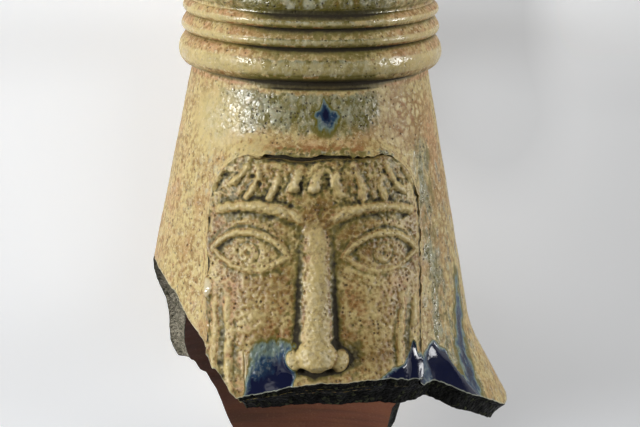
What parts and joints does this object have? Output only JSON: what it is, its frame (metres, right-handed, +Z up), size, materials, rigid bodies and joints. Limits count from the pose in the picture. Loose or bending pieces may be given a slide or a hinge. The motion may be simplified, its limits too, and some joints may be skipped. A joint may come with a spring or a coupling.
{
  "type": "bellarmine jug neck sherd",
  "caption": "Broken neck of a salt-glazed stoneware bellarmine jug with cordoned rim, applied face mask, cobalt splashes and a strap handle that it lies on.",
  "frame": {"origin": "middle of the flat back of the handle, which the sherd lies on", "axes": "+Z up, out of the face; +Y along the neck's axis towards the rim; +X to the right of someone who looks at the face with the rim up"},
  "size_m": [0.078, 0.1329, 0.1065],
  "materials": {
    "salt_glaze": "glossy mottled orange-peel salt glaze",
    "mask_glaze": "brown salt glaze, dark in the hollows",
    "slip": "smooth pinkish salt glaze"
  },
  "bodies": {
    "root": {"neck_wall": "salt_glaze", "mask_slip_bed": "slip", "face_mask": "mask_glaze", "handle": "salt_glaze", "handle_root_slip": "slip", "handle_tail_slip": "slip"}
  },
  "joints": []
}
